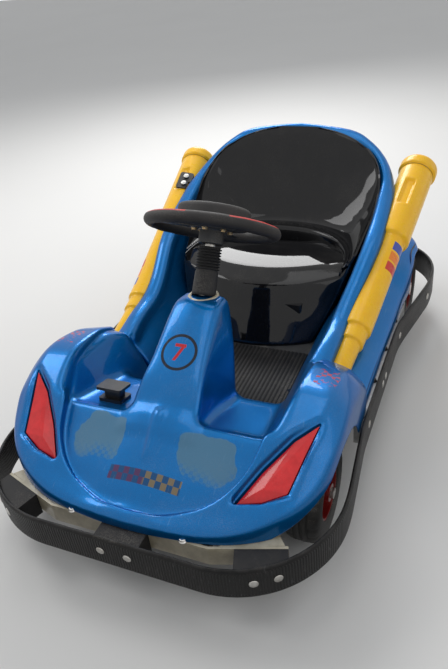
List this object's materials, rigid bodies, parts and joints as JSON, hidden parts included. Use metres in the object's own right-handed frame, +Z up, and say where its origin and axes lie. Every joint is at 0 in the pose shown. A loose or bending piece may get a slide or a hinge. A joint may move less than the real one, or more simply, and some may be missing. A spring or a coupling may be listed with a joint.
{
  "type": "electric bumper kart",
  "caption": "Electric plaza bumper kart: moulded two-piece body on a steel frame with steering, seat and side tubes, ringed by a standing rubber belt",
  "frame": {"origin": "on the ground at the middle of the belt's length and width", "axes": "+Z up, nose towards -Y, +Y along the length to the tail, +X the driver's left"},
  "size_m": [0.902, 1.42, 0.6655],
  "materials": {
    "blue_shell": "glossy metallic",
    "yellow_tube": "glossy",
    "black_shell": "glossy",
    "red_lens": "glossy",
    "black_rubber": "matt",
    "tyre": "matt",
    "black_foam": "matt",
    "black_plastic": "satin",
    "cream_paint": "satin",
    "pale_paint": "satin",
    "dark_paint": "satin",
    "red_paint": "glossy",
    "steel": "satin",
    "cream_plastic": "satin"
  },
  "bodies": {
    "chassis": {"frame_rail_left": "dark_paint", "frame_rail_right": "dark_paint", "frame_cross": "dark_paint", "side_rail_left": "pale_paint", "side_rail_right": "pale_paint", "front_bumper_bar": "cream_paint", "rear_bumper_bar": "cream_paint", "bumper_blocks_front": "black_rubber", "bumper_blocks_rear": "black_rubber", "bumper_belt": "black_rubber", "front_axle": "dark_paint", "axle_bearings": "dark_paint", "drive_motor": "dark_paint", "battery_box": "black_plastic", "floor_pan": "dark_paint", "floor_mat": "black_rubber", "body_front": "blue_shell", "body_rear": "blue_shell", "seat_base": "black_shell", "seat_back": "black_shell", "side_tube_left": "yellow_tube", "side_tube_right": "yellow_tube", "headlamp_left": "red_lens", "headlamp_right": "red_lens", "pedal": "black_plastic", "switch_panel": "black_plastic", "column_collar": "cream_plastic", "column_sleeve": "black_rubber"},
    "steering": {"steering_shaft": "steel", "steering_hub": "dark_paint", "steering_pad": "black_foam", "steering_rim": "black_foam"},
    "left_knuckle": {"knuckle_left": "steel"},
    "right_knuckle": {"knuckle_right": "steel"},
    "left_tie_rod": {"tie_rod_left": "steel"},
    "right_tie_rod": {"tie_rod_right": "steel"},
    "left_front_wheel": {"front_tyre_left": "tyre", "front_rim_left": "red_paint"},
    "right_front_wheel": {"front_tyre_right": "tyre", "front_rim_right": "red_paint"},
    "rear_wheels": {"rear_axle": "steel", "rear_rim_left": "red_paint", "rear_rim_right": "red_paint", "rear_tyre_left": "tyre", "rear_tyre_right": "tyre"}
  },
  "joints": [
    {"name": "steering_column", "type": "hinge", "parent": "chassis", "child": "steering", "pos_m": [0, -0.1785, 0.4294], "axis": [0, 0.565, 0.8251], "range_deg": [-40, 40]},
    {"name": "left_kingpin", "type": "hinge", "parent": "chassis", "child": "left_knuckle", "pos_m": [0.255, -0.4, 0.114], "axis": [0, 0, 1], "range_deg": [-22, 22]},
    {"name": "left_tie_rod_eye", "type": "hinge", "parent": "left_knuckle", "child": "left_tie_rod", "pos_m": [0.255, -0.324, 0.168], "axis": [0, 0, 1], "range_deg": [-22, 22]},
    {"name": "left_front_wheel_spin", "type": "hinge", "parent": "left_knuckle", "child": "left_front_wheel", "pos_m": [0.325, -0.4, 0.114], "axis": [1, 0, 0], "continuous": true},
    {"name": "right_kingpin", "type": "hinge", "parent": "chassis", "child": "right_knuckle", "pos_m": [-0.255, -0.4, 0.114], "axis": [0, 0, 1], "range_deg": [-22, 22]},
    {"name": "right_tie_rod_eye", "type": "hinge", "parent": "right_knuckle", "child": "right_tie_rod", "pos_m": [-0.255, -0.324, 0.168], "axis": [0, 0, 1], "range_deg": [-22, 22]},
    {"name": "right_front_wheel_spin", "type": "hinge", "parent": "right_knuckle", "child": "right_front_wheel", "pos_m": [-0.325, -0.4, 0.114], "axis": [1, 0, 0], "continuous": true},
    {"name": "rear_axle_spin", "type": "hinge", "parent": "chassis", "child": "rear_wheels", "pos_m": [0, 0.495, 0.114], "axis": [1, 0, 0], "continuous": true}
  ],
  "couplings": [
    {"joint": "left_kingpin", "follows": "steering_column", "ratio": 0.55},
    {"joint": "left_tie_rod_eye", "follows": "steering_column", "ratio": -0.55},
    {"joint": "right_kingpin", "follows": "steering_column", "ratio": 0.55},
    {"joint": "right_tie_rod_eye", "follows": "steering_column", "ratio": -0.55}
  ]
}
